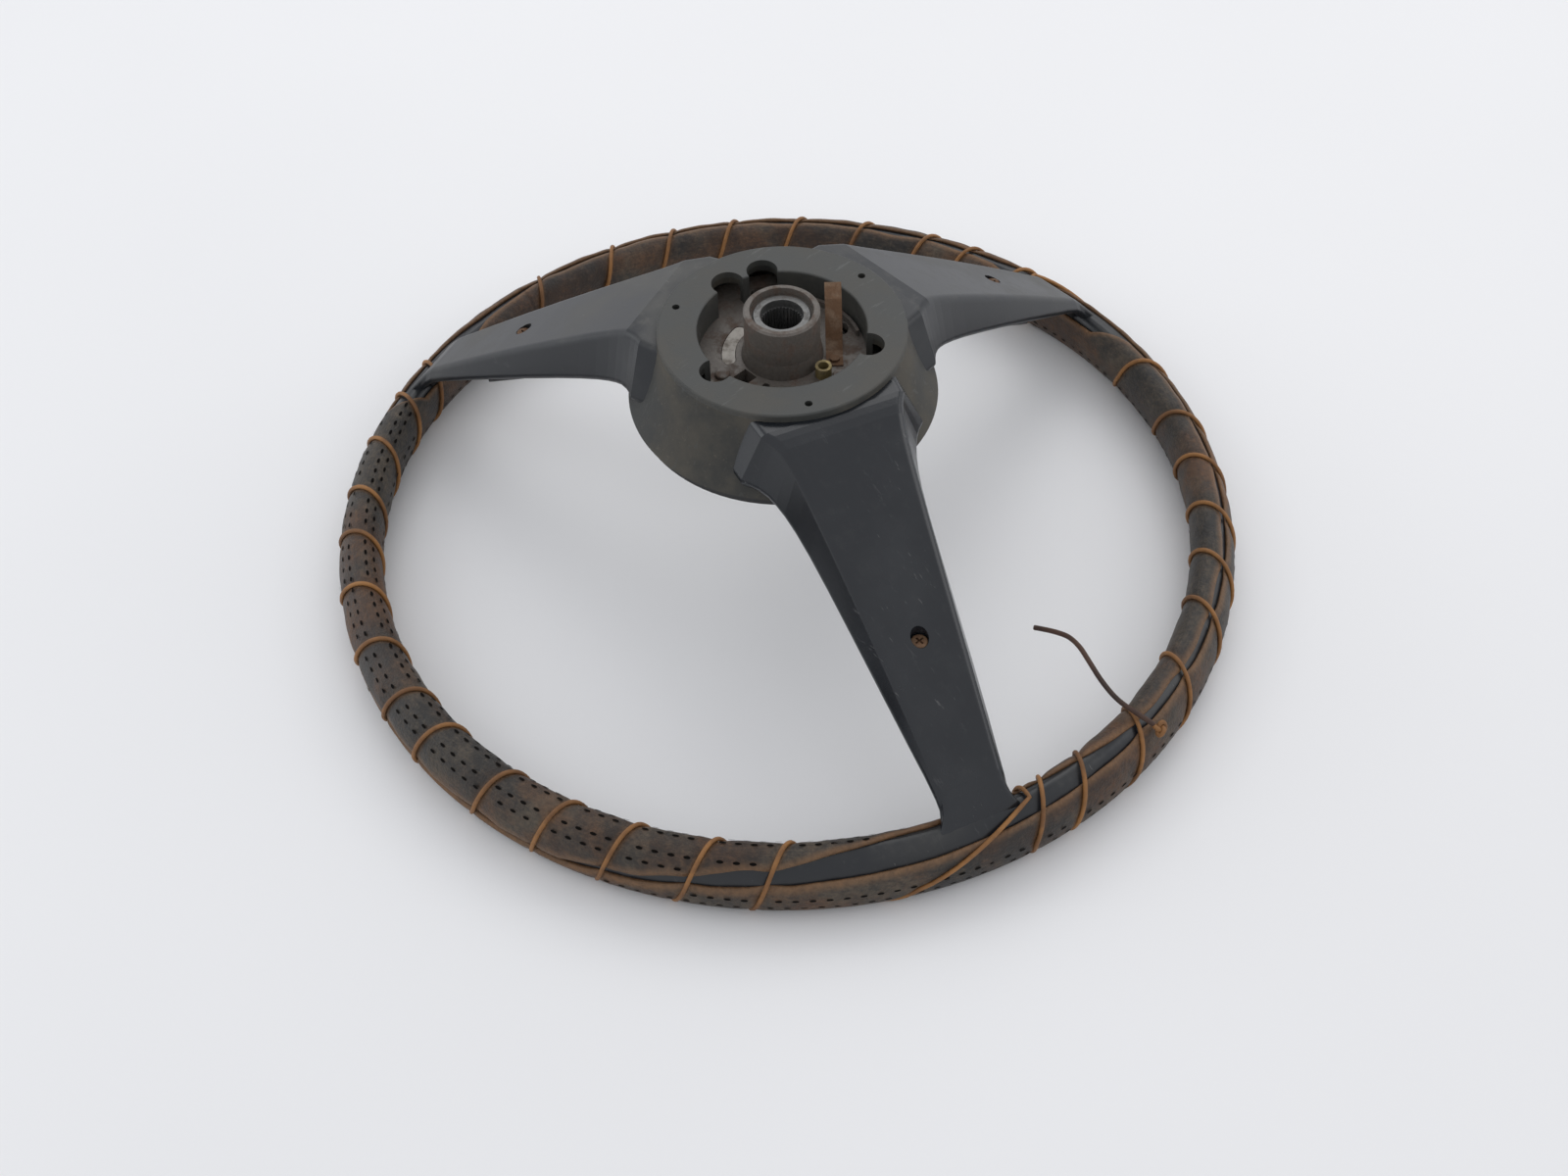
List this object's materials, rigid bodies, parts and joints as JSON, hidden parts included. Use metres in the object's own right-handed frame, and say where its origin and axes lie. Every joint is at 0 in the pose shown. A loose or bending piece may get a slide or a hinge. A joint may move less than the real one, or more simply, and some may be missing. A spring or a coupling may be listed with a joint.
{
  "type": "steering wheel",
  "caption": "Three-spoke steering wheel with a laced leather rim cover, a splined hub and a sprung horn pad, lying on its face.",
  "frame": {"origin": "on the wheel's axis, in the plane that the rim's face side rests on", "axes": "+Z along the axis, away from the driver and towards the steering column; the lower spoke runs along -Y; +X is the driver's left"},
  "size_m": [0.4052, 0.4042, 0.1398],
  "materials": {
    "black_steel": "thin black paint",
    "dusty_steel": "dull, dusty, lightly rusted",
    "bare_steel": "bare, dull",
    "rusty_steel": "rusted",
    "white_nylon": "aged white",
    "dull_brass": "tarnished",
    "gloss_black": "glossy with scuffs and dust",
    "matte_black": "worn satin, grey with dust",
    "badge_grey": "plain satin disc",
    "brown_leather": "worn smooth, paler on the edges, perforated",
    "tan_lace": "round leather lace, waxed"
  },
  "bodies": {
    "wheel": {"rim_core": "black_steel", "left_spoke_strip": "black_steel", "right_spoke_strip": "black_steel", "lower_spoke_strip": "black_steel", "hub_plate": "dusty_steel", "hub_boss": "dusty_steel", "splined_bush": "bare_steel", "plate_rivets": "bare_steel", "strip_rivets": "bare_steel", "insulator_ring": "white_nylon", "contact_ring": "dull_brass", "contact_sleeve": "dull_brass", "cancelling_leaf": "rusty_steel", "leaf_rivet": "bare_steel", "rim_moulding": "gloss_black", "left_spoke_moulding": "gloss_black", "right_spoke_moulding": "gloss_black", "lower_spoke_moulding": "gloss_black", "back_ring": "matte_black", "hub_shroud": "matte_black", "screw_ferrules": "bare_steel", "leather_cover": "brown_leather", "lace_wound": "tan_lace", "lace_knot": "tan_lace", "lace_tail": "tan_lace"},
    "horn_push": {"pad_carrier": "black_steel", "horn_pad": "matte_black", "badge_disc": "badge_grey", "pad_screws": "rusty_steel", "weld_nuts": "bare_steel", "contact_studs": "dull_brass", "pad_springs": "bare_steel"}
  },
  "joints": [
    {"name": "horn_press", "type": "slide", "parent": "wheel", "child": "horn_push", "axis": [0, 0, 1], "range_m": [0, 0.002], "stiffness_N_per_m": 3000, "springref_m": -0.004, "deforming": ["pad_springs"]}
  ]
}
